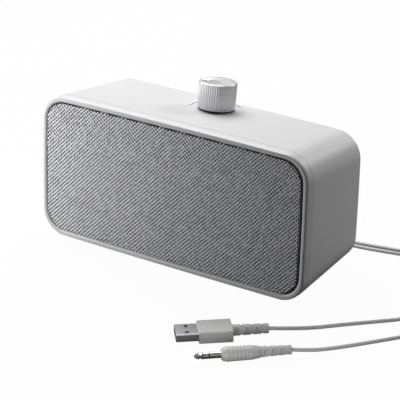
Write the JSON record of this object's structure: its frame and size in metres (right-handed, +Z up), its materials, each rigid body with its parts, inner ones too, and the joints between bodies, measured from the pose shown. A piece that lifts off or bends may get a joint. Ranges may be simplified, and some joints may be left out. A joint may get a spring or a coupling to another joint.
{
  "type": "desktop speaker",
  "caption": "Compact single-cabinet stereo desktop speaker with a woven cloth grille, a turning volume knob on top, and attached USB power and stereo mini-plug leads.",
  "frame": {"origin": "on the desk surface, midway across the cabinet and midway between its front and rear", "axes": "+Z up, -Y the way the grille faces (leaning back 2.62 degrees), +X to the right as seen from the front"},
  "size_m": [0.287, 0.1809, 0.0986],
  "materials": {
    "shell": "satin moulded ABS",
    "bezel": "satin moulded ABS",
    "cloth": "woven acoustic cloth",
    "grille_plastic": "moulded",
    "baffle_plastic": "moulded",
    "felt": "polyester felt",
    "basket_steel": "black powder coat",
    "surround_rubber": "matte",
    "gasket_card": "pressed card",
    "cone_paper": "pressed paper pulp",
    "coil_copper": "enamelled copper wire",
    "spider_cloth": "resin-dipped cotton",
    "plated_steel": "zinc plated",
    "ferrite": "sintered ferrite",
    "board_green": "solder mask",
    "chip_black": "moulded epoxy",
    "socket_white": "nylon",
    "knob_satin": "satin silver",
    "dot_red": "paint filled",
    "light_pipe": "smoked acrylic",
    "foot_rubber": "matte",
    "cord_pvc": "flexible PVC",
    "tie_black": "hook and loop tape",
    "usb_steel": "nickel-plated steel",
    "contact_gold": "gold flash",
    "jack_nickel": "nickel plated"
  },
  "bodies": {
    "cabinet": {"cabinet_shell": "shell", "front_bezel": "bezel", "grille_cloth": "cloth", "grille_frame": "grille_plastic", "front_baffle": "baffle_plastic", "divider": "baffle_plastic", "left_damping_felt": "felt", "right_damping_felt": "felt", "left_basket": "basket_steel", "left_surround": "surround_rubber", "driver_gaskets": "gasket_card", "left_spider": "spider_cloth", "left_top_plate": "plated_steel", "left_yoke": "plated_steel", "left_magnet": "ferrite", "right_basket": "basket_steel", "right_surround": "surround_rubber", "right_spider": "spider_cloth", "right_top_plate": "plated_steel", "right_yoke": "plated_steel", "right_magnet": "ferrite", "amplifier_board": "board_green", "amplifier_chip": "chip_black", "capacitors": "chip_black", "wire_sockets": "socket_white", "driver_screws": "plated_steel", "baffle_screws": "plated_steel", "board_screws": "plated_steel", "driver_terminals": "plated_steel", "pot_washer": "plated_steel", "pot_nut": "plated_steel", "pot_bushing": "plated_steel", "volume_pot": "chip_black", "power_light": "light_pipe", "front_feet": "foot_rubber", "rear_feet": "foot_rubber", "cord_glands": "cord_pvc", "usb_cord": "cord_pvc", "usb_cord_coil": "cord_pvc", "audio_cord": "cord_pvc", "audio_cord_coil": "cord_pvc", "usb_grip": "cord_pvc", "usb_relief": "cord_pvc", "jack_grip": "cord_pvc", "jack_relief": "cord_pvc", "coil_ties": "tie_black", "usb_shell": "usb_steel", "jack_insulators": "chip_black", "usb_tongue": "socket_white", "usb_contacts": "contact_gold", "jack_contacts": "jack_nickel"},
    "knob_body": {"volume_knob": "knob_satin", "knob_dot": "dot_red", "pot_shaft": "plated_steel"},
    "left_cone_body": {"left_cone": "cone_paper", "left_dust_cap": "cone_paper", "left_voice_coil": "coil_copper"},
    "right_cone_body": {"right_cone": "cone_paper", "right_dust_cap": "cone_paper", "right_voice_coil": "coil_copper"}
  },
  "joints": [
    {"name": "volume_turn", "type": "hinge", "parent": "cabinet", "child": "knob_body", "pos_m": [0, 0.01577, 0.08157], "axis": [0, 0.1447, 0.9895], "range_deg": [-300, 0]},
    {"name": "left_cone_travel", "type": "slide", "parent": "cabinet", "child": "left_cone_body", "axis": [0, -0.999, 0.0457], "range_m": [-0.0012, 0.0012], "stiffness_N_per_m": 400, "deforming": ["left_surround", "left_spider"]},
    {"name": "right_cone_travel", "type": "slide", "parent": "cabinet", "child": "right_cone_body", "axis": [0, -0.999, 0.0457], "range_m": [-0.0012, 0.0012], "stiffness_N_per_m": 400, "deforming": ["right_surround", "right_spider"]}
  ]
}
